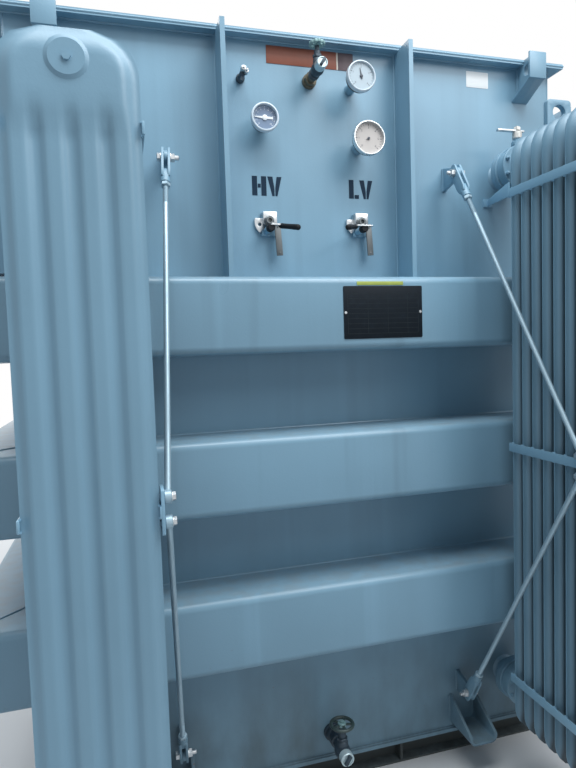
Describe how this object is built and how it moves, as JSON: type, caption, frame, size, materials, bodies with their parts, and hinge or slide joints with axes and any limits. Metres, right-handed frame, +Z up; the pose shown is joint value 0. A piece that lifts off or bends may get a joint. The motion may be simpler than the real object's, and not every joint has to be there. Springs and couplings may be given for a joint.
{
  "type": "oil-filled substation power transformer",
  "caption": "Oil-filled power transformer with a box-stiffened steel tank, plate radiators at its corners, gauges, switch handles and valves.",
  "frame": {"origin": "on the ground, under the middle of the tank", "axes": "+X along the tank's long side, towards the low-voltage end; -Y faces whoever reads the gauges; +Z up"},
  "size_m": [2.47, 2.524, 2.8825],
  "materials": {
    "tank_paint": "semi-gloss blue-grey paint",
    "radiator_paint": "semi-gloss blue-grey paint",
    "base_paint": "dark dusty paint",
    "instrument": "satin bezel and dial",
    "plated_steel": "galvanized",
    "black_grip": "dipped grip",
    "wheel_paint": "dark green-black paint",
    "valve_metal": "dull painted brass"
  },
  "bodies": {
    "tank": {"floor_plate": "tank_paint", "front_wall": "tank_paint", "rear_wall": "tank_paint", "left_wall": "tank_paint", "right_wall": "tank_paint", "rim_flange": "tank_paint", "cover_plate": "tank_paint", "base_rail_front": "base_paint", "base_rail_rear": "base_paint", "base_crossmember_left": "base_paint", "base_crossmember_right": "base_paint", "upper_belt": "tank_paint", "middle_belt": "tank_paint", "lower_belt": "tank_paint", "pressure_gauge": "instrument", "level_gauge": "instrument", "temperature_gauge": "instrument", "hv_switch_mount": "plated_steel", "lv_switch_mount": "plated_steel", "fill_valve": "valve_metal", "drain_valve": "valve_metal", "bleeder_valve": "valve_metal", "hv_throat": "tank_paint", "lv_throat": "tank_paint", "pressure_relief": "plated_steel", "handhole_cover": "tank_paint", "post_front_left": "tank_paint", "radiator_front_left": "radiator_paint", "radiator_eye_front_left": "radiator_paint", "brace_upper_front_left": "plated_steel", "brace_lower_front_left": "plated_steel", "jack_pad_front_left": "tank_paint", "lifting_lug_front_left": "tank_paint", "post_front_right": "tank_paint", "radiator_front_right": "radiator_paint", "radiator_eye_front_right": "radiator_paint", "brace_upper_front_right": "plated_steel", "brace_lower_front_right": "plated_steel", "jack_pad_front_right": "tank_paint", "lifting_lug_front_right": "tank_paint", "post_rear_left": "tank_paint", "radiator_rear_left": "radiator_paint", "radiator_eye_rear_left": "radiator_paint", "brace_upper_rear_left": "plated_steel", "brace_lower_rear_left": "plated_steel", "jack_pad_rear_left": "tank_paint", "lifting_lug_rear_left": "tank_paint", "post_rear_right": "tank_paint", "radiator_rear_right": "radiator_paint", "radiator_eye_rear_right": "radiator_paint", "brace_upper_rear_right": "plated_steel", "brace_lower_rear_right": "plated_steel", "jack_pad_rear_right": "tank_paint", "lifting_lug_rear_right": "tank_paint"},
    "hv_handle": {"hv_switch_handle": "black_grip"},
    "lv_handle": {"lv_switch_handle": "black_grip"},
    "fill_wheel": {"fill_valve_wheel": "wheel_paint"},
    "drain_wheel": {"drain_valve_wheel": "wheel_paint"}
  },
  "joints": [
    {"name": "hv_handle_turn", "type": "hinge", "parent": "tank", "child": "hv_handle", "pos_m": [-0.178, -0.6726, 2.058], "axis": [0, -1, 0], "range_deg": [0, 120]},
    {"name": "lv_handle_turn", "type": "hinge", "parent": "tank", "child": "lv_handle", "pos_m": [0.161, -0.6726, 2.062], "axis": [0, -1, 0], "range_deg": [-120, 0]},
    {"name": "fill_wheel_turn", "type": "hinge", "parent": "tank", "child": "fill_wheel", "pos_m": [-0.007, -0.72, 2.658], "axis": [0, 0, 1], "range_deg": [0, 330]},
    {"name": "drain_wheel_turn", "type": "hinge", "parent": "tank", "child": "drain_wheel", "pos_m": [0.01, -0.735, 0.304], "axis": [0, 0, 1], "range_deg": [0, 330]}
  ]
}
